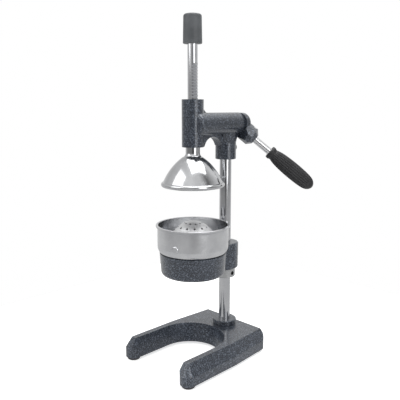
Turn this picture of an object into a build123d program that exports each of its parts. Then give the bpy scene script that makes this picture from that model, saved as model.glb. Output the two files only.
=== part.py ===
from build123d import *
import os
from math import acos, cos, pi, radians, sin, tan

# Column-mounted citrus press, in millimetres. The origin is on the column's axis, on the surface
# that the feet stand on. +Z is up and the base's two prongs point to -Y.

# --- driving dimensions -------------------------------------------------------------------------
THROAT = 78.0  # column axis to plunger axis
COLUMN_R = 10.0
COLUMN_TOP = 372.0
COLUMN_FOOT = 26.0  # the column's lower end, inside the base

FOOT_R = 10.5
FOOT_HEIGHT = 5.0
FOOT_PEG_R = 4.0
FOOT_PEG = 4.0
BASE_TOP = 38.0
BASE_HALF_WIDTH = 80.0
BASE_BACK_HALF_WIDTH = 74.0
BASE_BACK = 27.0
PRONG_END = -167.0
BASE_WAIST = -60.0
BACK_CORNER_R = 12.0
SLOT_R = 53.0
SLOT_SHIFT = 9.0  # the slot's round end, centred this far ahead of the plunger
SLOT_DRAFT = 10.0  # degrees
CHAMFER_HIGH = 18.0
CHAMFER_WIDE = 11.0
BACK_CHAMFER = 3.0  # the rear edge is cut back only this far at the top
BOLT_POCKET_R = 14.0
FLANGE_R = 21.0
FLANGE_RING = 4.5

BRACKET_LOW = 147.0
BRACKET_HIGH = 184.5
BRACKET_STEP = 3.2  # the bracket's rim lies this far inside the bowl's wall
BRACKET_WALL = 6.0
BRACKET_FLOOR = 6.0
BRACKET_HUB_WALL = 13.2
BRACKET_HUB_LOW = 141.0
BRACKET_HUB_HIGH = 187.5
DRAIN_R = 30.0
COLLAR_WALL = 8.2
COLLAR_HEIGHT = 15.0

BOWL_R = 58.2
BOWL_WALL = 1.2
BOWL_RIM_Z = 230.4
BOWL_LIP = 2.4
BOWL_CORNER_R = 16.0
BOWL_BOTTOM = 180.0
SPOUT_R = 9.0
SPOUT_LENGTH = 16.0
RIVET_R = 6.0
RIVET_Z = 200.0
RIVET_ANGLE = -73.0  # degrees from +X

STRAINER_GAP = 1.2  # from the strainer's foot to where the bowl's bottom starts to curve
STRAINER_TOP = 236.0
STRAINER_WALL = 1.2
STRAINER_HOLE_R = 1.8
STRAINER_HOLES = 14

ROD_R = 8.0
ROD_LOW = 343.0
CAP_WALL = 7.0
CAP_TAPER = 0.8
CAP_LOW = 515.0
CAP_HIGH = 560.0
CAP_BORE_TOP = 545.0
STROKE = 82.0

SLEEVE_WALL = 7.0
SLEEVE_LOW = 356.0
SLEEVE_HIGH = 430.5
GUIDE_BUSH_WALL = 2.5
GUIDE_BUSH_LENGTH = 22.0
ARM_R = 18.0
ARM_Z = 392.0
ARM_X = 10.0
ARM_NOSE = 6.5  # how far the arm runs past the plunger's axis
SOCKET_WALL = 7.6
SOCKET_LOW = 332.0
WEB_HALF = 8.0
GUSSET = 13.0  # the hollow corner between the sleeve and the top of the arm
ARCH_R = 21.5
CLAMP_SCREW_Z = 351.0
CLAMP_HEAD = 5.0

MODULE = 1.5
PINION_TEETH = 12
PRESSURE_ANGLE = 25.0
ADDENDUM = 1.35
DEDENDUM = 1.65
BACKLASH = 0.16
RACK_DEPTH = 2.9  # the rack's pitch line, in from the rod's surface
NOSE_WALL = 3.0  # the arm's front wall, ahead of the pinion
PINION_WIDTH = 10.0
SHAFT_R = 6.0
SPIGOT_R = 5.0
SHAFT_BUSH_R = 11.0
SHAFT_BUSH_LENGTH = 14.0
RUNNING = 0.05  # radial clearance of a shaft in its bush

BELL_TOP = 341.0
BELL_NECK_WALL = 3.5
BELL_FLARE = 5.0
BELL_NECK_TOP = 355.7
BELL_R = 45.2
BELL_RIM_R = 51.5
BELL_RIM_Z = 296.3
BELL_WALL = 1.8
BELL_SCREW_R = 3.0

HUB_R = 17.5
HUB_GAP = 0.5  # between the arm's rear end and the hub
HUB_LENGTH = 13.6
BOSS_FLATS = 30.0
BOSS_LENGTH = 37.5
BOSS_CHAMFER = 7.0
BOSS_SET_BACK = 1.6  # where the lever's line starts, behind the hub's front face
BOSS_OFFSET = 5.6  # how far under the shaft's axis the lever's line runs
LEVER_RAKE = 30.0  # degrees back from the plane square to the shaft
LEVER_DROP = 47.0  # degrees below level at rest
LEVER_R = 6.0
LEVER_START = 14.0
GRIP_START = 69.7
GRIP_END = 164.8
GRIP_R = 14.0
GRIP_BEAD_R = 11.0

SCREW_SOCKET = 0.55  # a screw's hexagon socket, as a share of its radius

# --- worked out from them -----------------------------------------------------------------------
SLOT_CENTRE = -THROAT - SLOT_SHIFT
GUIDE_BUSH_R = ROD_R + GUIDE_BUSH_WALL
SLEEVE_R = GUIDE_BUSH_R + SLEEVE_WALL
CAP_R = ROD_R + CAP_WALL
CAP_TOP_R = CAP_R - CAP_TAPER
BELL_NECK_R = ROD_R + BELL_NECK_WALL
RACK_PITCH_X = ROD_R - RACK_DEPTH
SOCKET_R = COLUMN_R + SOCKET_WALL
COLLAR_R = COLUMN_R + COLLAR_WALL
ARM_REAR = SOCKET_R
BRACKET_HUB_R = COLUMN_R + BRACKET_HUB_WALL
BRACKET_R = BOWL_R - BRACKET_STEP
STRAINER_R = BOWL_R - BOWL_CORNER_R - STRAINER_GAP
ARM_FRONT = -THROAT - ARM_NOSE
PINION_FRONT = ARM_FRONT + NOSE_WALL
FRONT_BUSH_Y = ROD_R - THROAT + 0.5
HUB_FRONT = ARM_REAR + HUB_GAP
HUB_REAR = HUB_FRONT + HUB_LENGTH
BOSS_Y = HUB_FRONT + BOSS_SET_BACK
PITCH_R = MODULE * PINION_TEETH / 2
SHAFT_X = RACK_PITCH_X + PITCH_R
TOOTH_PITCH = pi * MODULE
SHAFT_END = HUB_REAR - 2.0
LEVER_DIRECTION = (
    cos(radians(LEVER_RAKE)) * cos(radians(LEVER_DROP)),
    sin(radians(LEVER_RAKE)),
    -cos(radians(LEVER_RAKE)) * sin(radians(LEVER_DROP)),
)
LEVER_ORIGIN = (
    SHAFT_X - BOSS_OFFSET * sin(radians(LEVER_DROP)),
    BOSS_Y,
    ARM_Z - BOSS_OFFSET * cos(radians(LEVER_DROP)),
)
LEVER_FRAME = Plane(origin=LEVER_ORIGIN, x_dir=(0, 0, 1), z_dir=LEVER_DIRECTION)

UP = (Align.CENTER, Align.CENTER, Align.MIN)


def post(radius, low, high, x=0.0, y=0.0):
    """A cylinder along Z."""
    return Pos(x, y, low) * Cylinder(radius, high - low, align=UP)


def bar_y(radius, front, rear, x, z):
    """A cylinder along Y."""
    return Pos(x, front, z) * Rot(-90, 0, 0) * Cylinder(radius, rear - front, align=UP)


def bar_x(radius, start, end, y, z):
    """A cylinder along X."""
    return Pos(start, y, z) * Rot(0, 90, 0) * Cylinder(radius, end - start, align=UP)


def turned(*edges):
    """A closed half profile of radius and height, turned about Z."""
    return revolve(make_face([Plane.XZ * edge for edge in edges]), Axis.Z)


def crown(radius, height, top):
    """An arc from (radius, height) up to (0, top), centred on the axis, so that it turns to a sphere."""
    centre = (top**2 - height**2 - radius**2) / (2 * (top - height))
    ball = top - centre
    half = acos((height - centre) / ball) / 2
    return ThreePointArc((radius, height), (ball * sin(half), centre + ball * cos(half)), (0, top))


def on_plunger(shape):
    return Pos(0, -THROAT, 0) * shape


def hexagon(across_flats, height):
    return extrude(RegularPolygon(across_flats / 2, 6, major_radius=False), height)


def grub_screw(radius, length):
    """A headless screw along +Z from 0, with a hexagon socket in its outer end."""
    socket = Pos(0, 0, length - radius) * hexagon(2 * radius * SCREW_SOCKET, radius + 1)
    return Cylinder(radius, length, align=UP) - socket


def base_plan(prong_r, back_y):
    """The base's outline, with rounded corners and no slot."""
    side = [(BASE_HALF_WIDTH, PRONG_END), (BASE_HALF_WIDTH, BASE_WAIST), (BASE_BACK_HALF_WIDTH, back_y)]
    outline = side + [(-x, y) for x, y in reversed(side)]
    plan = make_face(Polyline(*outline, close=True))
    plan = fillet(plan.vertices().group_by(Axis.Y)[0], prong_r - 0.5)
    return fillet(plan.vertices().group_by(Axis.Y)[-1], BACK_CORNER_R)


def base_casting():
    prong_r = (BASE_HALF_WIDTH - SLOT_R) / 2
    plan = base_plan(prong_r, BASE_BACK)
    deep_plan = base_plan(prong_r, BASE_BACK + CHAMFER_WIDE - BACK_CHAMFER)
    shoulder = BASE_TOP - CHAMFER_HIGH
    lower = Pos(0, 0, FOOT_HEIGHT) * extrude(plan, shoulder - FOOT_HEIGHT)
    slope = 90 - degrees_of(CHAMFER_HIGH, CHAMFER_WIDE)
    upper = Pos(0, 0, shoulder) * extrude(deep_plan, CHAMFER_HIGH, taper=slope)
    upper &= Pos(0, 0, shoulder) * extrude(plan, CHAMFER_HIGH)
    slot = Pos(0, SLOT_CENTRE) * Circle(SLOT_R)
    slot += Pos(0, SLOT_CENTRE) * Rectangle(2 * SLOT_R, 300, align=(Align.CENTER, Align.MAX))
    cutter = Pos(0, 0, FOOT_HEIGHT) * extrude(slot, BASE_TOP - FOOT_HEIGHT + 1, taper=-SLOT_DRAFT)
    casting = lower + upper - cutter
    rounded = prong_outline(prong_r)
    casting = casting & Pos(0, 0, FOOT_HEIGHT) * extrude(rounded, BASE_TOP)
    casting -= post(COLUMN_R, COLUMN_FOOT, BASE_TOP + 1)
    casting -= post(BOLT_POCKET_R, FOOT_HEIGHT - 1, COLUMN_FOOT - 6)
    casting -= post(SPIGOT_R + 0.2, FOOT_HEIGHT, COLUMN_FOOT + 1)
    for x, y in foot_places():
        casting -= post(FOOT_PEG_R, FOOT_HEIGHT - 1, FOOT_HEIGHT + FOOT_PEG, x, y)
    return casting


def degrees_of(rise, run):
    """The angle of a slope above the level."""
    return acos(run / (rise**2 + run**2) ** 0.5) * 180 / pi


def prong_outline(prong_r):
    """The plan of both prongs with full round ends, and all that lies behind them."""
    centre = SLOT_R + prong_r
    end = PRONG_END + prong_r
    plan = Pos(0, end) * Rectangle(4 * BASE_HALF_WIDTH, 400, align=(Align.CENTER, Align.MIN))
    for side in (-1, 1):
        plan += Pos(side * centre, end) * Circle(prong_r)
    return plan


def foot_places():
    prong_r = (BASE_HALF_WIDTH - SLOT_R) / 2
    front = [(side * (SLOT_R + prong_r), PRONG_END + prong_r) for side in (-1, 1)]
    inset = BACK_CORNER_R + 2
    rear = [(side * (BASE_BACK_HALF_WIDTH - inset), BASE_BACK - inset) for side in (-1, 1)]
    return front + rear


def rubber_feet():
    feet = []
    for x, y in foot_places():
        pad = chamfer(post(FOOT_R, 0, FOOT_HEIGHT, x, y).edges().group_by(Axis.Z)[0], 0.8)
        feet.append(pad + post(FOOT_PEG_R, FOOT_HEIGHT, FOOT_HEIGHT + FOOT_PEG, x, y))
    return Compound(feet)


def column():
    shape = post(COLUMN_R, COLUMN_FOOT, COLUMN_TOP)
    shape = chamfer(shape.edges().group_by(Axis.Z)[-1], 1)
    return shape - post(SPIGOT_R, COLUMN_FOOT, COLUMN_FOOT + 30)


def column_bolt():
    seat = COLUMN_FOOT - 6
    head = Pos(0, 0, seat - 2 - 6.5) * hexagon(17, 6.5)
    return head + post(SPIGOT_R, seat - 2, COLUMN_FOOT + 28)


def column_washer():
    seat = COLUMN_FOOT - 6
    return post(11.5, seat - 2, seat) - post(SPIGOT_R + 0.3, seat - 2, seat)


def foot_ring(low, radius, edge):
    ring = post(radius, low, low + FLANGE_RING) - post(COLUMN_R, low, low + FLANGE_RING)
    outer = ring.edges().filter_by(GeomType.CIRCLE).sort_by(SortBy.RADIUS)[-2:]
    return chamfer(outer, edge)


def head_casting():
    sleeve = post(SLEEVE_R, SLEEVE_LOW, SLEEVE_HIGH, 0, -THROAT)
    arm = bar_y(ARM_R, ARM_FRONT, ARM_REAR, ARM_X, ARM_Z)
    arm = fillet(arm.edges().filter_by(GeomType.CIRCLE).group_by(Axis.Y)[0], 4.5)
    socket = post(SOCKET_R, SOCKET_LOW, ARM_Z - ARM_R)
    socket = fillet(socket.edges().filter_by(GeomType.CIRCLE).group_by(Axis.Z)[0], 1.5)
    flare = Pos(0, 0, ARM_Z - ARM_R - 14) * Cone(SOCKET_R, SOCKET_R + 4, 20, align=UP)
    flare &= Pos(0, 0, ARM_Z) * Box(4 * ARM_R, 2 * ARM_REAR, 80)
    corner = (Align.CENTER, Align.MIN, Align.MIN)
    web = Pos(0, -THROAT, SLEEVE_LOW) * Box(2 * WEB_HALF, THROAT, ARM_Z - SLEEVE_LOW, align=corner)
    arch_y = (-THROAT + SLEEVE_R - SOCKET_R) / 2
    arch_z = ARM_Z - ARM_R - 3 - ARCH_R
    web -= bar_x(ARCH_R, -2 * WEB_HALF, 2 * WEB_HALF, arch_y, arch_z)
    hollow_y = -THROAT + SLEEVE_R + GUSSET - 1
    hollow_z = ARM_Z + ARM_R + GUSSET - 1
    gusset = Pos(0, -THROAT, ARM_Z) * Box(GUSSET, SLEEVE_R + GUSSET, ARM_R + GUSSET - 1, align=corner)
    gusset -= bar_x(GUSSET, -2 * ARM_R, 2 * ARM_R, hollow_y, hollow_z)
    head = sleeve + arm + socket + flare + web + gusset
    head -= post(GUIDE_BUSH_R, SLEEVE_LOW, SLEEVE_HIGH, 0, -THROAT)
    head -= bar_y(SHAFT_BUSH_R, PINION_FRONT - 0.5, ARM_REAR + 10, SHAFT_X, ARM_Z)
    head -= post(COLUMN_R, SOCKET_LOW, COLUMN_TOP)
    head -= bar_y(3.0, 0, SOCKET_R + 5, 0, CLAMP_SCREW_Z)
    return head


def head_clamp_screw():
    shank = bar_y(3.0, COLUMN_R, SOCKET_R + 1, 0, CLAMP_SCREW_Z)
    head = bar_y(7.0, SOCKET_R, SOCKET_R + CLAMP_HEAD, 0, CLAMP_SCREW_Z)
    head = fillet(head.edges().group_by(Axis.Y)[-1], 3)
    socket = Pos(0, SOCKET_R + 1.6, CLAMP_SCREW_Z) * Rot(-90, 0, 0) * hexagon(4, 5)
    return shank + head - socket


def guide_bush(low):
    return post(GUIDE_BUSH_R, low, low + GUIDE_BUSH_LENGTH, 0, -THROAT) - post(
        ROD_R + RUNNING, low, low + GUIDE_BUSH_LENGTH, 0, -THROAT
    )


def shaft_bush(front):
    rear = front + SHAFT_BUSH_LENGTH
    outer = bar_y(SHAFT_BUSH_R, front, rear, SHAFT_X, ARM_Z)
    return outer - bar_y(SHAFT_R + RUNNING, front, rear, SHAFT_X, ARM_Z)


def rack_space():
    """The gap between two rack teeth, along Y, centred on the origin's height."""
    half = TOOTH_PITCH / 4 + BACKLASH / 2
    slope = tan(radians(PRESSURE_ANGLE))
    tip = RACK_PITCH_X + ADDENDUM
    root = RACK_PITCH_X - DEDENDUM
    wide = half + slope * (ADDENDUM + 2)
    narrow = half - slope * DEDENDUM
    corners = [(root, -narrow), (tip + 2, -wide), (tip + 2, wide), (root, narrow)]
    face = make_face(Plane.XZ * Polyline(*corners, close=True))
    return extrude(face, 2 * ROD_R, both=True)


def rack_rod():
    rod = post(ROD_R, ROD_LOW, CAP_BORE_TOP)
    low = ARM_Z - 2.5 * TOOTH_PITCH
    high = ARM_Z + STROKE + 2.5 * TOOTH_PITCH
    tip = RACK_PITCH_X + ADDENDUM
    rod -= Pos(tip, 0, low) * Box(ROD_R, 3 * ROD_R, high - low, align=(Align.MIN, Align.CENTER, Align.MIN))
    space = rack_space()
    count = int((high - low) / TOOTH_PITCH)
    rod -= [Pos(0, 0, ARM_Z + (i - 2) * TOOTH_PITCH) * space for i in range(count)]
    rod -= post(BELL_SCREW_R, ROD_LOW, ROD_LOW + 18)
    return on_plunger(rod)


def top_cap():
    shape = turned(
        Polyline((0, CAP_BORE_TOP), (ROD_R, CAP_BORE_TOP), (ROD_R, CAP_LOW), (CAP_R - 0.8, CAP_LOW)),
        Line((CAP_R - 0.8, CAP_LOW), (CAP_R, CAP_LOW + 0.8)),
        Line((CAP_R, CAP_LOW + 0.8), (CAP_TOP_R, CAP_HIGH - 5)),
        ThreePointArc(
            (CAP_TOP_R, CAP_HIGH - 5), (CAP_TOP_R - 1, CAP_HIGH - 2.4), (CAP_TOP_R - 3.7, CAP_HIGH - 1.2)
        ),
        crown(CAP_TOP_R - 3.7, CAP_HIGH - 1.2, CAP_HIGH),
        Line((0, CAP_HIGH), (0, CAP_BORE_TOP)),
    )
    return on_plunger(shape)


def press_bell():
    mid = (0.71 * BELL_R, BELL_TOP - 15.5)
    low = (BELL_R, BELL_TOP - 35)
    inner_mid = (mid[0] - 0.75 * BELL_WALL, mid[1] - 0.75 * BELL_WALL)
    inner_low = (low[0] - BELL_WALL, low[1])
    ceiling = BELL_TOP - BELL_WALL - 0.6
    rim_in = BELL_RIM_R - 3.5
    bead_high = BELL_RIM_Z + 3.8
    bead_low = BELL_RIM_Z - 3.8
    flare_low = (BELL_NECK_R + BELL_FLARE, BELL_TOP - 0.25 * BELL_FLARE)
    flare_high = (BELL_NECK_R, BELL_TOP + BELL_FLARE)
    shape = turned(
        Line((BELL_SCREW_R + 0.2, ceiling), (BELL_NECK_R, ceiling)),
        ThreePointArc((BELL_NECK_R, ceiling), inner_mid, inner_low),
        Polyline(inner_low, (rim_in - BELL_WALL, bead_high - 1), (rim_in - BELL_WALL, bead_low)),
        Line((rim_in - BELL_WALL, bead_low), (rim_in, bead_low)),
        ThreePointArc((rim_in, bead_low), (BELL_RIM_R, BELL_RIM_Z), (rim_in, bead_high)),
        Line((rim_in, bead_high), low),
        ThreePointArc(low, mid, flare_low),
        ThreePointArc(flare_low, (BELL_NECK_R + 0.25 * BELL_FLARE, BELL_TOP + 0.3 * BELL_FLARE), flare_high),
        Polyline(
            flare_high,
            (BELL_NECK_R, BELL_NECK_TOP),
            (ROD_R, BELL_NECK_TOP),
            (ROD_R, ROD_LOW),
            (BELL_SCREW_R + 0.2, ROD_LOW),
            (BELL_SCREW_R + 0.2, ceiling),
        ),
    )
    return on_plunger(shape)


def bell_screw():
    ceiling = BELL_TOP - BELL_WALL - 0.6
    head = post(6.0, ceiling - 4, ceiling)
    head = fillet(head.edges().group_by(Axis.Z)[0], 2.5)
    head -= Pos(0, 0, ceiling - 5) * hexagon(4, 3)
    return on_plunger(head + post(BELL_SCREW_R, ceiling, ROD_LOW + 16))


def involute(base_r, radius, offset):
    """A point on the involute of base_r at a radius, turned by offset radians."""
    roll = ((radius / base_r) ** 2 - 1) ** 0.5
    angle = roll - acos(base_r / radius) + offset
    return (radius * cos(angle), radius * sin(angle))


def drive_pinion():
    base_r = PITCH_R * cos(radians(PRESSURE_ANGLE))
    tip_r = PITCH_R + ADDENDUM
    root_r = PITCH_R - DEDENDUM
    pitch_angle = tan(radians(PRESSURE_ANGLE)) - radians(PRESSURE_ANGLE)
    half_tooth = pi / (2 * PINION_TEETH) - BACKLASH / 2 / PITCH_R
    flank = []
    for i in range(6):
        radius = base_r + (tip_r - base_r) * i / 5
        flank.append(involute(base_r, radius, -half_tooth - pitch_angle))
    lower = Spline(*flank)
    upper = Spline(*[(x, -y) for x, y in flank])
    first, last = flank[0], flank[-1]
    root_x = root_r - 0.8
    tooth = make_face(
        [
            lower,
            ThreePointArc(last, (tip_r, 0), (last[0], -last[1])),
            upper,
            Polyline((first[0], -first[1]), (root_x, -first[1] - 0.1), (root_x, first[1] + 0.1), first),
        ]
    )
    blank = extrude(tooth, PINION_WIDTH)
    gear = Cylinder(root_r, PINION_WIDTH, align=UP)
    gear += [Rot(0, 0, 360 / PINION_TEETH * i) * blank for i in range(PINION_TEETH)]
    gear -= Cylinder(SPIGOT_R, PINION_WIDTH, align=UP)
    return Pos(SHAFT_X, PINION_FRONT, ARM_Z) * Rot(-90, 0, 0) * gear


def drive_shaft():
    shoulder = PINION_FRONT + PINION_WIDTH
    shaft = bar_y(SHAFT_R, shoulder, SHAFT_END, SHAFT_X, ARM_Z)
    shaft += bar_y(SPIGOT_R, PINION_FRONT, shoulder, SHAFT_X, ARM_Z)
    return shaft - bar_y(3.0, SHAFT_END - 14, SHAFT_END, SHAFT_X, ARM_Z)


def on_lever(shape):
    return LEVER_FRAME.location * shape


def lever_hub():
    cap = bar_y(HUB_R, HUB_FRONT, HUB_REAR, SHAFT_X, ARM_Z)
    cap = fillet(cap.edges().filter_by(GeomType.CIRCLE).group_by(Axis.Y)[-1], 6.5)
    octagon = RegularPolygon(BOSS_FLATS / 2, 8, major_radius=False)
    boss = extrude(octagon, BOSS_LENGTH)
    boss = chamfer(boss.edges().group_by(Axis.Z)[-1], BOSS_CHAMFER)
    hub = cap + on_lever(boss)
    ahead = (Align.CENTER, Align.MAX, Align.CENTER)
    hub -= Pos(SHAFT_X, HUB_FRONT, ARM_Z) * Box(150, 75, 150, align=ahead)
    hub -= bar_y(SHAFT_R, HUB_FRONT - 1, SHAFT_END, SHAFT_X, ARM_Z)
    hub -= bar_y(3.0, SHAFT_END - 1, HUB_REAR + 1, SHAFT_X, ARM_Z)
    hub -= bar_y(9.0, HUB_REAR, HUB_REAR + BOSS_LENGTH, SHAFT_X, ARM_Z)
    hub -= on_lever(Pos(0, 0, LEVER_START) * Cylinder(LEVER_R, BOSS_LENGTH, align=UP))
    hub -= hub_screw_hole()
    return hub


def hub_screw_place():
    """The lever's set screw enters the boss square to its axis, from above."""
    return LEVER_FRAME.location * Pos(LEVER_R, 0, BOSS_LENGTH - 12) * Rot(0, 90, 0)


def hub_screw_hole():
    return hub_screw_place() * Pos(0, 0, -LEVER_R) * Cylinder(3.0, BOSS_FLATS / 2 + 1, align=UP)


def hub_set_screw():
    return hub_screw_place() * grub_screw(3.0, BOSS_FLATS / 2 - LEVER_R - 0.5)


def hub_washer():
    ring = bar_y(8.5, HUB_REAR, HUB_REAR + 1.6, SHAFT_X, ARM_Z)
    return ring - bar_y(3.0, HUB_REAR, HUB_REAR + 1.6, SHAFT_X, ARM_Z)


def hub_screw():
    seat = HUB_REAR + 1.6
    head = bar_y(5.5, seat, seat + 4.5, SHAFT_X, ARM_Z)
    head = fillet(head.edges().group_by(Axis.Y)[-1], 1.5)
    head -= Pos(SHAFT_X, seat + 2, ARM_Z) * Rot(-90, 0, 0) * hexagon(5, 5)
    return head + bar_y(3.0, SHAFT_END - 12, seat, SHAFT_X, ARM_Z)


def lever_rod():
    return on_lever(Pos(0, 0, LEVER_START) * Cylinder(LEVER_R, GRIP_END - 18 - LEVER_START, align=UP))


def lever_grip():
    waist = GRIP_START + 9
    shape = turned(
        Polyline((LEVER_R, GRIP_START), (GRIP_BEAD_R - 1, GRIP_START), (GRIP_BEAD_R, GRIP_START + 1)),
        Polyline((GRIP_BEAD_R, GRIP_START + 1), (GRIP_BEAD_R, GRIP_START + 6), (GRIP_BEAD_R - 1, waist)),
        Spline(
            (GRIP_BEAD_R - 1, waist),
            (GRIP_R - 0.6, GRIP_START + 35),
            (GRIP_R, GRIP_START + 55),
            (GRIP_R - 1.5, GRIP_END - 12),
            (GRIP_R - 7, GRIP_END - 2.5),
        ),
        crown(GRIP_R - 7, GRIP_END - 2.5, GRIP_END),
        Polyline((0, GRIP_END), (0, GRIP_END - 18), (LEVER_R, GRIP_END - 18), (LEVER_R, GRIP_START)),
    )
    return on_lever(shape)


def bracket_seat():
    """The dished seat that the bowl's round bottom corner drops into, with 0.4 mm all round."""
    corner_x = BOWL_R - BOWL_CORNER_R
    corner_z = BOWL_BOTTOM + BOWL_CORNER_R
    gap_r = BOWL_CORNER_R + 0.4
    disc = Torus(corner_x, gap_r, align=(Align.CENTER,) * 3)
    inner = Cylinder(corner_x, 2 * gap_r, align=(Align.CENTER,) * 3)
    return Pos(0, -THROAT, corner_z) * (disc + inner)


def bowl_bracket():
    ring = turned(
        Polyline((DRAIN_R, BOWL_BOTTOM - BRACKET_FLOOR), (DRAIN_R, BRACKET_HIGH), (BRACKET_R, BRACKET_HIGH)),
        Line((BRACKET_R, BRACKET_HIGH), (BRACKET_R - 2, BRACKET_LOW + 6)),
        ThreePointArc(
            (BRACKET_R - 2, BRACKET_LOW + 6), (BRACKET_R - 4, BRACKET_LOW + 2), (BRACKET_R - 8, BRACKET_LOW)
        ),
        Polyline(
            (BRACKET_R - 8, BRACKET_LOW),
            (BRACKET_R - 8 - BRACKET_WALL / 2, BRACKET_LOW),
            (BRACKET_R - 8 - BRACKET_WALL / 2, BOWL_BOTTOM - BRACKET_FLOOR),
            (DRAIN_R, BOWL_BOTTOM - BRACKET_FLOOR),
        ),
    )
    hub = post(BRACKET_HUB_R, BRACKET_HUB_LOW, BRACKET_HUB_HIGH)
    hub = chamfer(hub.edges().group_by(Axis.Z)[-1], 1.5)
    hub = chamfer(hub.edges().group_by(Axis.Z)[0], 3)
    ahead = (Align.CENTER, Align.MAX, Align.MIN)
    neck_height = BRACKET_HIGH - BRACKET_LOW
    neck = Pos(0, 0, BRACKET_LOW) * Box(1.5 * BRACKET_HUB_R, THROAT - BRACKET_R + 4, neck_height, align=ahead)
    bracket = hub + neck
    bracket -= on_plunger(post(BRACKET_R - 4, BRACKET_LOW - 10, BRACKET_HUB_HIGH))
    bracket -= on_plunger(post(BOWL_R + 0.6, BRACKET_HIGH, BRACKET_HUB_HIGH + 1))
    bracket += on_plunger(ring)
    bracket -= bracket_seat() - on_plunger(post(BOWL_R, 0, BOWL_BOTTOM - 0.4))
    bracket -= post(COLUMN_R, BRACKET_HUB_LOW, BRACKET_HUB_HIGH)
    return bracket - bar_y(3.5, 0, BRACKET_HUB_R + 1, 0, (BRACKET_HUB_LOW + BRACKET_HUB_HIGH) / 2)


def bracket_set_screw():
    middle = (BRACKET_HUB_LOW + BRACKET_HUB_HIGH) / 2
    return Pos(0, COLUMN_R, middle) * Rot(-90, 0, 0) * grub_screw(3.5, BRACKET_HUB_R - COLUMN_R - 0.8)


def stop_collar():
    low = BRACKET_HUB_LOW - COLLAR_HEIGHT
    ring = post(COLLAR_R, low, BRACKET_HUB_LOW)
    ring = chamfer(ring.edges().filter_by(GeomType.CIRCLE), 0.8)
    ring -= post(COLUMN_R, low, BRACKET_HUB_LOW)
    return ring - bar_x(3.5, 0, COLLAR_R + 1, 0, low + COLLAR_HEIGHT / 2)


def collar_set_screw():
    middle = BRACKET_HUB_LOW - COLLAR_HEIGHT / 2
    return Pos(COLUMN_R, 0, middle) * Rot(0, 90, 0) * grub_screw(3.5, COLLAR_R - COLUMN_R - 0.4)


def bowl():
    corner = BOWL_R - BOWL_CORNER_R
    centre_z = BOWL_BOTTOM + BOWL_CORNER_R
    inner_r = BOWL_CORNER_R - BOWL_WALL
    near = sin(radians(45))
    spout_in = SPOUT_R - BOWL_WALL
    shape = turned(
        Line((SPOUT_R, BOWL_BOTTOM), (corner, BOWL_BOTTOM)),
        ThreePointArc(
            (corner, BOWL_BOTTOM),
            (corner + BOWL_CORNER_R * near, centre_z - BOWL_CORNER_R * near),
            (BOWL_R, centre_z),
        ),
        Polyline(
            (BOWL_R, centre_z),
            (BOWL_R, BOWL_RIM_Z - 2 * BOWL_LIP),
            (BOWL_R + BOWL_LIP, BOWL_RIM_Z - 1.2 * BOWL_LIP),
            (BOWL_R + BOWL_LIP, BOWL_RIM_Z - 0.3),
            (BOWL_R + BOWL_LIP - 0.3, BOWL_RIM_Z),
            (BOWL_R - BOWL_WALL + 0.3, BOWL_RIM_Z),
            (BOWL_R - BOWL_WALL, BOWL_RIM_Z - 0.3),
            (BOWL_R - BOWL_WALL, centre_z),
        ),
        ThreePointArc(
            (BOWL_R - BOWL_WALL, centre_z),
            (corner + inner_r * near, centre_z - inner_r * near),
            (corner, BOWL_BOTTOM + BOWL_WALL),
        ),
        Polyline(
            (corner, BOWL_BOTTOM + BOWL_WALL),
            (spout_in, BOWL_BOTTOM + BOWL_WALL),
            (spout_in, BOWL_BOTTOM - SPOUT_LENGTH),
            (SPOUT_R, BOWL_BOTTOM - SPOUT_LENGTH),
            (SPOUT_R, BOWL_BOTTOM),
        ),
    )
    return on_plunger(shape) - rivet_place() * Cylinder(1.6, 12)


def rivet_place():
    """Out through the bowl's wall, with +Z pointing away from the plunger's axis."""
    wall = Rot(0, 0, RIVET_ANGLE) * Pos(BOWL_R, 0, RIVET_Z) * Rot(0, 90, 0)
    return Pos(0, -THROAT, 0) * wall


def bowl_rivet():
    dome = Pos(0, 0, -0.3) * Cylinder(RIVET_R, 2.4, align=UP)
    dome = fillet(dome.edges().group_by(Axis.Z)[-1], 1.9)
    tail = Pos(0, 0, -BOWL_WALL - 1.4) * Cylinder(3.0, 1.2, align=UP)
    stem = Pos(0, 0, -BOWL_WALL - 1) * Cylinder(1.6, BOWL_WALL + 1.4, align=UP)
    wall = post(BOWL_R, RIVET_Z - 20, RIVET_Z + 20) - post(BOWL_R - BOWL_WALL, RIVET_Z - 21, RIVET_Z + 21)
    wall = on_plunger(wall) - rivet_place() * Cylinder(1.6, 12)
    return rivet_place() * (dome + stem + tail) - wall


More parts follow.
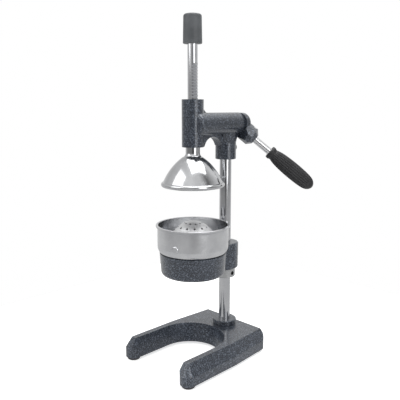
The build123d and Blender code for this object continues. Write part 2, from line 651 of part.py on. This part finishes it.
def strainer():
    floor = BOWL_BOTTOM + BOWL_WALL
    wall = STRAINER_WALL
    mid_r, mid_z = 0.66 * STRAINER_R, STRAINER_TOP - 12
    hip_r, hip_z = STRAINER_R - 1, STRAINER_TOP - 36
    shoulder = (0.86 * STRAINER_R, STRAINER_TOP - 22)
    inner_shoulder = (shoulder[0] - 0.75 * wall, shoulder[1] - 0.65 * wall)
    inner_mid = (mid_r - 0.6 * wall, mid_z - 0.8 * wall)
    dome = turned(
        crown(mid_r, mid_z, STRAINER_TOP),
        ThreePointArc((mid_r, mid_z), shoulder, (hip_r, hip_z)),
        Polyline((hip_r, hip_z), (STRAINER_R, floor), (STRAINER_R - wall, floor), (hip_r - wall, hip_z)),
        ThreePointArc((hip_r - wall, hip_z), inner_shoulder, inner_mid),
        crown(*inner_mid, STRAINER_TOP - wall),
        Line((0, STRAINER_TOP - wall), (0, STRAINER_TOP)),
    )
    holes = []
    focus = Pos(0, 0, STRAINER_TOP - 46)
    for row, tilt in enumerate((18, 33, 48, 63)):
        count = STRAINER_HOLES + 2 * row - 4
        for i in range(count):
            turn = Rot(0, 0, 360 / count * (i + 0.25 + 0.5 * (row % 2)))
            drill = Pos(0, 0, 30) * Cylinder(STRAINER_HOLE_R, 30, align=UP)
            holes.append(focus * turn * Rot(0, tilt, 0) * drill)
    return on_plunger(dome - holes)


NODES = {
    "base_casting": base_casting,
    "rubber_feet": rubber_feet,
    "column": column,
    "column_bolt": column_bolt,
    "column_washer": column_washer,
    "foot_ring_lower": lambda: foot_ring(BASE_TOP, FLANGE_R - 0.8, 0.6),
    "foot_ring_upper": lambda: foot_ring(BASE_TOP + FLANGE_RING, FLANGE_R, 1.2),
    "head_casting": head_casting,
    "head_clamp_screw": head_clamp_screw,
    "lower_guide_bush": lambda: guide_bush(SLEEVE_LOW),
    "upper_guide_bush": lambda: guide_bush(SLEEVE_HIGH - GUIDE_BUSH_LENGTH),
    "front_shaft_bush": lambda: shaft_bush(FRONT_BUSH_Y),
    "rear_shaft_bush": lambda: shaft_bush(ARM_REAR - SHAFT_BUSH_LENGTH),
    "bowl_bracket": bowl_bracket,
    "bracket_set_screw": bracket_set_screw,
    "stop_collar": stop_collar,
    "collar_set_screw": collar_set_screw,
    "rack_rod": rack_rod,
    "top_cap": top_cap,
    "press_bell": press_bell,
    "bell_screw": bell_screw,
    "drive_shaft": drive_shaft,
    "drive_pinion": drive_pinion,
    "lever_hub": lever_hub,
    "hub_set_screw": hub_set_screw,
    "hub_washer": hub_washer,
    "hub_screw": hub_screw,
    "lever_rod": lever_rod,
    "lever_grip": lever_grip,
    "bowl": bowl,
    "bowl_rivet": bowl_rivet,
    "strainer": strainer,
}


def main():
    os.makedirs("parts", exist_ok=True)
    for name, make in NODES.items():
        export_step(make(), f"parts/{name}.step")


main()
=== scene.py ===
import math

import bmesh
import bpy
from mathutils import Matrix, Vector


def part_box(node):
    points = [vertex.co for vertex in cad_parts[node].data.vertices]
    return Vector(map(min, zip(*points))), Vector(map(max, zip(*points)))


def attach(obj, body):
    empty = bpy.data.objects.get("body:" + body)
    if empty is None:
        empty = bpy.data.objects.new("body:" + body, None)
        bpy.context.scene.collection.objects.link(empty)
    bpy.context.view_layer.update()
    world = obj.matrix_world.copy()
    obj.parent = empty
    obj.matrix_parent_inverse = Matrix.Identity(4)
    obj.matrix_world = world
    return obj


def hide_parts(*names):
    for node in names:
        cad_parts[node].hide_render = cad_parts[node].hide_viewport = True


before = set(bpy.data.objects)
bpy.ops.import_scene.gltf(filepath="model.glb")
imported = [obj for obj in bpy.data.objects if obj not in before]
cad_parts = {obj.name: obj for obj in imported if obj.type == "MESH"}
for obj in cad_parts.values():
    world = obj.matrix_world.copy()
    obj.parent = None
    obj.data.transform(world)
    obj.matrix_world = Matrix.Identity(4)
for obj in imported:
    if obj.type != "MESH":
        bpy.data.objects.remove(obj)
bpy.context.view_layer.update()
MM = 0.001

# --- places read from the frame -----------------------------------------------------------------


def middle(node):
    low, high = (Vector(corner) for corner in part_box(node))
    return (low + high) / 2


PLUNGER = middle("rack_rod")
COLUMN = middle("column")
BOWL = middle("bowl")

# The lever's direction at rest: dropped below level, and leaning back away from the base.
LEVER_LEAN = math.radians(30)
LEVER_DROP = math.radians(47)
LEVER_LINE = Vector(
    (
        math.cos(LEVER_LEAN) * math.cos(LEVER_DROP),
        math.sin(LEVER_LEAN),
        -math.cos(LEVER_LEAN) * math.sin(LEVER_DROP),
    )
)


# --- colours and nodes --------------------------------------------------------------------------


def linear(hex_colour):
    """An sRGB hex value as a linear colour."""
    channels = [int(hex_colour[i : i + 2], 16) / 255 for i in (1, 3, 5)]
    return tuple(c / 12.92 if c <= 0.04045 else ((c + 0.055) / 1.055) ** 2.4 for c in channels) + (1.0,)


def add(tree, kind, links=None, **settings):
    """Adds a node. A setting that names an input sets that input, and links joins inputs to outputs."""
    node = tree.nodes.new(kind)
    for name, value in settings.items():
        plain = name.replace("__", " ")
        if plain in node.inputs:
            node.inputs[plain].default_value = value
        else:
            setattr(node, name, value)
    for name, output in (links or {}).items():
        tree.links.new(output, node.inputs[name])
    return node


def new_finish(name, **sockets):
    """A material with its shader's own sockets set, and the tree and shader to build on."""
    material = bpy.data.materials.new(name)
    material.use_nodes = True
    tree = material.node_tree
    shader = tree.nodes["Principled BSDF"]
    for socket, value in sockets.items():
        shader.inputs[socket.replace("__", " ")].default_value = value
    return material, tree, shader


def ramp(tree, factor, stops):
    """A colour ramp with (place, hex colour) stops."""
    node = add(tree, "ShaderNodeValToRGB", {"Fac": factor})
    elements = node.color_ramp.elements
    while len(elements) < len(stops):
        elements.new(0.5)
    for element, (place, colour) in zip(elements, stops):
        element.position = place
        element.color = linear(colour)
    return node.outputs["Color"]


def span(tree, factor, low, high):
    """A 0 to 1 value brought to the range low to high."""
    node = add(tree, "ShaderNodeMapRange", {"Value": factor}, To__Min=low, To__Max=high)
    return node.outputs["Result"]


def per_metre(millimetres):
    """The texture scale that makes one cell this many millimetres wide."""
    return 1 / (millimetres * MM)


def from_range(tree, value, low, high):
    """A value in the range low to high brought to 0 to 1."""
    node = add(tree, "ShaderNodeMapRange", {"Value": value}, From__Min=low, From__Max=high)
    return node.outputs["Result"]


def maths(tree, operation, *values):
    """A maths node. Each value is a plain number or another node's output."""
    node = add(tree, "ShaderNodeMath", operation=operation)
    for socket, value in zip(node.inputs, values):
        if isinstance(value, (int, float)):
            socket.default_value = value
        else:
            tree.links.new(value, socket)
    return node.outputs[0]


def noise(tree, place, cell_mm, detail=3.0, roughness=0.5):
    """A noise whose cells are this many millimetres wide."""
    node = add(
        tree,
        "ShaderNodeTexNoise",
        {"Vector": place},
        Scale=per_metre(cell_mm),
        Detail=detail,
        Roughness=roughness,
    )
    return node.outputs["Fac"]


# --- finishes -----------------------------------------------------------------------------------


CRATER_MM = 1.9
FLAKE_MM = 0.9
DRIFT_MM = 60.0
FLAKE_AND_PIT_SHADE_RANGE = (0.6, 1.25)  # over which the summed pattern runs from the pit, painted dark as shade, to the flaked lip


def hammertone_enamel():
    """Stoved hammer-finish enamel on cast iron: a slate skin, even from afar, that pulls into shallow
    2 mm craters with a fine grey flake on their raised lips, and painted shade darkening the pits."""
    material, tree, shader = new_finish(
        "hammertone_enamel_on_cast_iron",
        Metallic=0.5,
        Coat__Weight=1.0,
        Coat__Roughness=0.16,
        Coat__IOR=1.5,
    )
    place = add(tree, "ShaderNodeTexCoord").outputs["Object"]
    craters = add(
        tree,
        "ShaderNodeTexVoronoi",
        {"Vector": place},
        feature="SMOOTH_F1",
        Scale=per_metre(CRATER_MM),
        Smoothness=0.5,
    ).outputs["Distance"]
    flake = noise(tree, place, FLAKE_MM, detail=3.0, roughness=0.7)
    drift = noise(tree, place, DRIFT_MM, detail=2.0)
    lips = maths(tree, "MULTIPLY_ADD", craters, 0.8, flake)
    flake_and_pit_shade = from_range(tree, maths(tree, "MULTIPLY_ADD", drift, 0.15, lips), *FLAKE_AND_PIT_SHADE_RANGE)
    # The dark stops paint shade into the crater pits. The light stops are the real flake on the lips.
    stops = [(0.0, "#171a20"), (0.35, "#282d35"), (0.65, "#3c424d"), (1.0, "#6a727e")]
    tree.links.new(ramp(tree, flake_and_pit_shade, stops), shader.inputs["Base Color"])
    tree.links.new(span(tree, flake, 0.26, 0.46), shader.inputs["Roughness"])
    edge = add(tree, "ShaderNodeBevel", samples=4, Radius=1.2 * MM)
    bump = add(
        tree,
        "ShaderNodeBump",
        {"Height": lips, "Normal": edge.outputs["Normal"]},
        Strength=0.55,
        Distance=0.4 * MM,
    )
    tree.links.new(bump.outputs["Normal"], shader.inputs["Normal"])
    return material


def turned_lines(tree, axis, line_mm):
    """Fine rings round an upright axis, as a lathe or a polishing mop leaves them."""
    place = add(tree, "ShaderNodeTexCoord").outputs["Object"]
    apart = add(tree, "ShaderNodeSeparateXYZ", {"Vector": place})
    across = maths(tree, "SUBTRACT", apart.outputs["X"], axis.x)
    along = maths(tree, "SUBTRACT", apart.outputs["Y"], axis.y)
    square = maths(tree, "MULTIPLY_ADD", along, along, maths(tree, "MULTIPLY", across, across))
    radius = maths(tree, "SQRT", square)
    rings = add(tree, "ShaderNodeCombineXYZ", {"X": radius, "Z": apart.outputs["Z"]})
    return place, noise(tree, rings.outputs[0], line_mm, detail=3.0, roughness=0.65)


STAIN_MM = 22.0


def steel(name, axis, colours, roughness, line_mm, line_depth_mm, stain):
    """Bare or plated metal with turned lines and a faint clouding. Metals keep the default IOR."""
    material, tree, shader = new_finish(name, Metallic=1.0)
    place, lines = turned_lines(tree, axis, line_mm)
    cloud = noise(tree, place, STAIN_MM)
    tree.links.new(ramp(tree, cloud, [(0.3, colours[0]), (0.7, colours[1])]), shader.inputs["Base Color"])
    rough = maths(tree, "ADD", span(tree, lines, *roughness), span(tree, cloud, -stain, stain))
    tree.links.new(rough, shader.inputs["Roughness"])
    bump = add(tree, "ShaderNodeBump", {"Height": lines}, Strength=0.5, Distance=line_depth_mm * MM)
    tree.links.new(bump.outputs["Normal"], shader.inputs["Normal"])
    return material


WEAR_MM = 18.0


def moulded(name, colours, roughness, grain_mm, grain_depth_mm, ior):
    """A moulded polymer with a fine spark-eroded grain."""
    material, tree, shader = new_finish(name, IOR=ior)
    place = add(tree, "ShaderNodeTexCoord").outputs["Object"]
    grain = noise(tree, place, grain_mm, detail=4.0)
    wear = noise(tree, place, WEAR_MM)
    tree.links.new(ramp(tree, wear, [(0.35, colours[0]), (0.7, colours[1])]), shader.inputs["Base Color"])
    tree.links.new(span(tree, wear, *roughness), shader.inputs["Roughness"])
    edge = add(tree, "ShaderNodeBevel", samples=4, Radius=0.5 * MM)
    bump = add(
        tree,
        "ShaderNodeBump",
        {"Height": grain, "Normal": edge.outputs["Normal"]},
        Strength=0.4,
        Distance=grain_depth_mm * MM,
    )
    tree.links.new(bump.outputs["Normal"], shader.inputs["Normal"])
    return material


FINISHES = {
    hammertone_enamel(): (
        "base_casting",
        "head_casting",
        "bowl_bracket",
        "lever_hub",
        "foot_ring_lower",
        "foot_ring_upper",
    ),
    # Chrome plate over ground bar: a cool mirror with the faintest grinding rings.
    steel(
        "chrome_plated_ground_bar",
        COLUMN,
        colours=("#c0c1c4", "#cfd0d2"),
        roughness=(0.06, 0.16),
        line_mm=0.6,
        line_depth_mm=0.01,
        stain=0.02,
    ): ("column",),
    # The same plate on the rack, a shade paler.
    steel(
        "chrome_plated_rack_bar",
        PLUNGER,
        colours=("#dcdde0", "#e6e7e9"),
        roughness=(0.08, 0.18),
        line_mm=0.6,
        line_depth_mm=0.01,
        stain=0.02,
    ): ("rack_rod",),
    # Drawn, not ground, before plating: reflections are softer.
    steel(
        "chrome_plated_drawn_rod",
        PLUNGER,
        colours=("#e2e3e5", "#eeeeef"),
        roughness=(0.16, 0.28),
        line_mm=0.8,
        line_depth_mm=0.01,
        stain=0.02,
    ): ("lever_rod",),
    # Spun steel, mopped bright: a mirror broken by spinning rings.
    steel(
        "stainless_spun_and_polished",
        BOWL,
        colours=("#c2c3c5", "#d2d3d5"),
        roughness=(0.08, 0.2),
        line_mm=0.9,
        line_depth_mm=0.03,
        stain=0.03,
    ): ("press_bell",),
    # Brushed round: reflections smear a little up and down.
    steel(
        "stainless_brushed_round",
        BOWL,
        colours=("#d0d1d4", "#dedfe1"),
        roughness=(0.14, 0.28),
        line_mm=0.5,
        line_depth_mm=0.02,
        stain=0.03,
    ): (
        "bowl",
        "bowl_rivet",
    ),
    # Pressed and left satin: pale, with no clear reflections.
    steel(
        "stainless_pressed_satin",
        BOWL,
        colours=("#e6e7e8", "#f2f2f3"),
        roughness=(0.42, 0.58),
        line_mm=0.5,
        line_depth_mm=0.02,
        stain=0.05,
    ): ("strainer",),
    # Turned bar, left bare: a soft sheen in rings.
    steel(
        "steel_collar_turned",
        COLUMN,
        colours=("#b2b3b5", "#c6c7c8"),
        roughness=(0.2, 0.34),
        line_mm=0.4,
        line_depth_mm=0.02,
        stain=0.04,
    ): ("stop_collar",),
    # Bright zinc on hardware: cool grey with a dull sheen.
    steel(
        "steel_bright_zinc_plated",
        COLUMN,
        colours=("#a9adb1", "#bcc0c2"),
        roughness=(0.22, 0.4),
        line_mm=0.5,
        line_depth_mm=0.02,
        stain=0.05,
    ): (
        "column_bolt",
        "column_washer",
        "drive_shaft",
        "drive_pinion",
        "hub_washer",
    ),
    # Black oxide on screws: near black and oily.
    steel(
        "steel_black_oxide",
        COLUMN,
        colours=("#17181a", "#242527"),
        roughness=(0.35, 0.5),
        line_mm=0.5,
        line_depth_mm=0.02,
        stain=0.05,
    ): (
        "head_clamp_screw",
        "bracket_set_screw",
        "collar_set_screw",
        "hub_set_screw",
        "hub_screw",
        "bell_screw",
    ),
    # Sintered bronze: brown gold and dull.
    steel(
        "bronze_sintered",
        PLUNGER,
        colours=("#8a6a3c", "#a3804c"),
        roughness=(0.35, 0.5),
        line_mm=0.5,
        line_depth_mm=0.03,
        stain=0.05,
    ): (
        "lower_guide_bush",
        "upper_guide_bush",
        "front_shaft_bush",
        "rear_shaft_bush",
    ),
    # Mid-grey rubber with a fine grain.
    moulded(
        "rubber_moulded_grey_cap",
        colours=("#4b4e51", "#5b5e61"),
        roughness=(0.42, 0.58),
        grain_mm=0.7,
        grain_depth_mm=0.06,
        ior=1.52,
    ): ("top_cap",),
    # Near-black rubber with a soft bloom.
    moulded(
        "rubber_moulded",
        colours=("#26262a", "#36363a"),
        roughness=(0.5, 0.68),
        grain_mm=0.7,
        grain_depth_mm=0.06,
        ior=1.52,
    ): ("rubber_feet",),
}

for material, members in FINISHES.items():
    for node in members:
        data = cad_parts[node].data
        data.materials.clear()
        data.materials.append(material)


# --- the ribbed grip ----------------------------------------------------------------------------

GRIP_LENGTH = 95 * MM
GRIP_RIBS = 20
SIDES_PER_RIB = 8
STEPS_PER_POINT = 4  # between two of the body's points
FLUTE_DEPTH = 1.1
FLUTE_START = 9  # past the waist
FLUTE_END = 88  # before the tip
FADE_IN = 5
FADE_OUT = 6
# Distance along the grip and radius there, in millimetres.
GRIP_HEEL = ((0.0, 7.0), (0.0, 9.8), (0.8, 11.0), (5.4, 11.0), (6.4, 10.2))
GRIP_BODY = (
    (6.4, 10.2),
    (8.6, 9.7),
    (11.0, 10.4),
    (16.0, 11.6),
    (24.0, 12.8),
    (35.0, 13.6),
    (48.0, 14.0),
    (60.0, 13.9),
    (71.0, 13.4),
    (80.0, 12.5),
    (86.5, 10.8),
    (90.5, 8.4),
    (93.4, 5.2),
    (94.7, 2.4),
)


def rib(along, angle):
    """How far the flutes cut in, in millimetres, here along and round the grip."""
    begun = min(1.0, max(0.0, (along - FLUTE_START) / FADE_IN))
    left = min(1.0, max(0.0, (FLUTE_END - along) / FADE_OUT))
    wave = 0.5 - 0.5 * math.cos(GRIP_RIBS * angle)
    return FLUTE_DEPTH * begun * left * (1 - wave) ** 2


def lever_place(near_end):
    """The frame whose Z runs along the lever, with its origin at the grip's near end."""
    turn = LEVER_LINE.to_track_quat("Z", "X").to_matrix().to_4x4()
    return Matrix.Translation(near_end) @ turn


def smooth(points, steps):
    """Catmull-Rom points through the given ones."""
    out = []
    last = len(points) - 1
    for i in range(last):
        before, start, end, after = (points[max(0, min(last, i + k))] for k in (-1, 0, 1, 2))
        for step in range(steps):
            t = step / steps
            out.append(tuple(catmull(*values, t) for values in zip(before, start, end, after)))
    return out + [points[-1]]


def catmull(before, start, end, after, t):
    slope = (end - before) * t
    bend = (2 * before - 5 * start + 4 * end - after) * t**2
    twist = (3 * start - before - 3 * end + after) * t**3
    return 0.5 * (2 * start + slope + bend + twist)


def ribbed_grip():
    segments = GRIP_RIBS * SIDES_PER_RIB
    mesh = bmesh.new()
    rings = []
    for along, radius in GRIP_HEEL + tuple(smooth(GRIP_BODY, STEPS_PER_POINT)[1:]):
        ring = []
        for i in range(segments):
            angle = 2 * math.pi * i / segments
            reach = (radius - rib(along, angle)) * MM
            ring.append(mesh.verts.new((reach * math.cos(angle), reach * math.sin(angle), along * MM)))
        rings.append(ring)
    for lower, upper in zip(rings, rings[1:]):
        for i in range(segments):
            j = (i + 1) % segments
            mesh.faces.new((lower[i], lower[j], upper[j], upper[i]))
    tip = mesh.verts.new((0, 0, GRIP_LENGTH))
    for i in range(segments):
        mesh.faces.new((rings[-1][i], rings[-1][(i + 1) % segments], tip))
    heel = mesh.verts.new((0, 0, 0))
    for i in range(segments):
        mesh.faces.new((rings[0][(i + 1) % segments], rings[0][i], heel))
    bmesh.ops.recalc_face_normals(mesh, faces=mesh.faces)
    data = bpy.data.meshes.new("grip_ribbed")
    mesh.to_mesh(data)
    mesh.free()
    for face in data.polygons:
        face.use_smooth = True
    grip = bpy.data.objects.new("grip_ribbed", data)
    bpy.context.collection.objects.link(grip)
    # Black polypropylene off the mould: a low sheen over a fine grain.
    data.materials.append(
        moulded(
            "polypropylene_moulded_grip",
            colours=("#1b1b1d", "#29292b"),
            roughness=(0.38, 0.52),
            grain_mm=0.6,
            grain_depth_mm=0.05,
            ior=1.49,
        )
    )
    data.transform(lever_place(grip_far_end() - LEVER_LINE * GRIP_LENGTH))
    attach(grip, "lever")
    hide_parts("lever_grip")


def grip_far_end():
    """The grip's rounded tip: the point of its mesh that lies furthest along the lever."""
    places = [vertex.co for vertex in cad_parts["lever_grip"].data.vertices]
    return max(places, key=lambda place: place.dot(LEVER_LINE))


ribbed_grip()


# --- floor, light and camera --------------------------------------------------------------------


FLOOR_SIZE = 0.9
FLOOR_GLOW = 0.6


def pale_floor():
    """Just large enough to stand on. Beyond it the studio wall's own white carries on."""
    bpy.ops.mesh.primitive_plane_add(size=FLOOR_SIZE)
    floor = bpy.context.object
    floor.name = "floor"
    material, _, _ = new_finish(
        "floor_matt_white",
        Base__Color=linear("#f4f4f4"),
        Roughness=0.9,
        Emission__Color=(1, 1, 1, 1),
        Emission__Strength=FLOOR_GLOW,
    )
    floor.data.materials.append(material)
    # Bright metal sees the studio's own ground instead, which isn't lit up.
    floor.visible_glossy = False


# The studio's walls as bright metal sees them, once round from -Y through -X, +Y and +X.
WALLS = (
    (0.0, "#8a8a8a"),
    (0.125, "#8c8c8c"),
    (0.2, "#c4c4c4"),
    (0.36, "#ececec"),
    (0.52, "#dcdcdc"),
    (0.6, "#b0b0b0"),
    (0.8, "#a8a8a8"),
    (0.845, "#404040"),
    (0.882, "#3c3c3c"),
    (0.915, "#8a8a8a"),
    (1.0, "#8a8a8a"),
)
# And its ceiling, by the same bearings.
CEILING = (
    (0.0, "#f0f0f0"),
    (0.3, "#c8c8c8"),
    (0.55, "#f4f4f4"),
    (0.68, "#707070"),
    (0.76, "#e0e0e0"),
    (0.9, "#f8f8f8"),
    (1.0, "#f0f0f0"),
)
CEILING_RISE = (0.0, 0.5)  # sines of the heights over which the walls give way to the ceiling
GROUND = "#cfcfcf"
GROUND_FALL = (-0.13, -0.3)  # and to the ground


# The mix node has sockets for plain numbers and vectors too. These are its colour ones.
MIX_COLOUR_SOCKETS = (0, 6, 7)
MIX_COLOUR_RESULT = 2


def blend(tree, factor, first, second):
    """One colour giving way to another, which may be a hex value."""
    node = add(tree, "ShaderNodeMix", data_type="RGBA")
    factor_socket, first_socket, second_socket = (node.inputs[i] for i in MIX_COLOUR_SOCKETS)
    tree.links.new(factor, factor_socket)
    tree.links.new(first, first_socket)
    if isinstance(second, str):
        second_socket.default_value = linear(second)
    else:
        tree.links.new(second, second_socket)
    return node.outputs[MIX_COLOUR_RESULT]


def studio_world():
    """White all round for the eye. Everything else sees grey walls with a dark gap and a pale ceiling."""
    world = bpy.data.worlds.new("studio")
    bpy.context.scene.world = world
    world.use_nodes = True
    tree = world.node_tree
    tree.nodes.clear()
    direction = add(tree, "ShaderNodeTexCoord").outputs["Generated"]
    apart = add(tree, "ShaderNodeSeparateXYZ", {"Vector": direction})
    bearing = maths(tree, "ARCTAN2", apart.outputs["X"], apart.outputs["Y"])
    turn = from_range(tree, bearing, -math.pi, math.pi)
    rise = from_range(tree, apart.outputs["Z"], *CEILING_RISE)
    fall = from_range(tree, apart.outputs["Z"], *GROUND_FALL)
    room = blend(tree, rise, ramp(tree, turn, WALLS), ramp(tree, turn, CEILING))
    seen = add(tree, "ShaderNodeBackground", {"Color": blend(tree, fall, room, GROUND)}, Strength=1.0)
    white = add(tree, "ShaderNodeBackground", Color=(1, 1, 1, 1), Strength=1.0)
    path = add(tree, "ShaderNodeLightPath")
    both = add(tree, "ShaderNodeMixShader", {"Fac": path.outputs["Is Camera Ray"]})
    tree.links.new(seen.outputs[0], both.inputs[1])
    tree.links.new(white.outputs[0], both.inputs[2])
    add(tree, "ShaderNodeOutputWorld", {"Surface": both.outputs[0]})


def soft_light(name, place, aim, size, watts):
    data = bpy.data.lights.new(name, "AREA")
    data.shape = "RECTANGLE"
    data.size, data.size_y = size
    data.energy = watts
    light = bpy.data.objects.new(name, data)
    light.location = place
    light.rotation_euler = (Vector(aim) - Vector(place)).to_track_quat("-Z", "Y").to_euler()
    bpy.context.collection.objects.link(light)


AIM_HEIGHT = 0.3


def studio_lights():
    aim = (PLUNGER.x, PLUNGER.y, AIM_HEIGHT)
    soft_light("key", (-0.6, -1.5, 1.3), aim, size=(1.3, 1.5), watts=8)
    soft_light("fill", (1.7, -0.3, 0.7), aim, size=(0.9, 1.4), watts=8)
    soft_light("top", (0.1, 0.2, 1.8), aim, size=(1.5, 1.5), watts=18)


CAMERA_PLACE = Vector((0.6026, -0.6669, 0.4178))
CAMERA_HEADING = math.radians(44.88)
CAMERA_PITCH = math.radians(9.93)
LENS = 47.5
SENSOR_WIDTH = 36


def camera():
    data = bpy.data.cameras.new("camera")
    data.sensor_width = SENSOR_WIDTH
    data.lens = LENS
    data.clip_start = 0.01
    place = bpy.data.objects.new("camera", data)
    place.location = CAMERA_PLACE
    place.rotation_euler = (math.pi / 2 - CAMERA_PITCH, 0, CAMERA_HEADING)
    bpy.context.collection.objects.link(place)
    bpy.context.scene.camera = place


pale_floor()
studio_world()
studio_lights()
camera()
bpy.context.scene.view_settings.view_transform = "Standard"
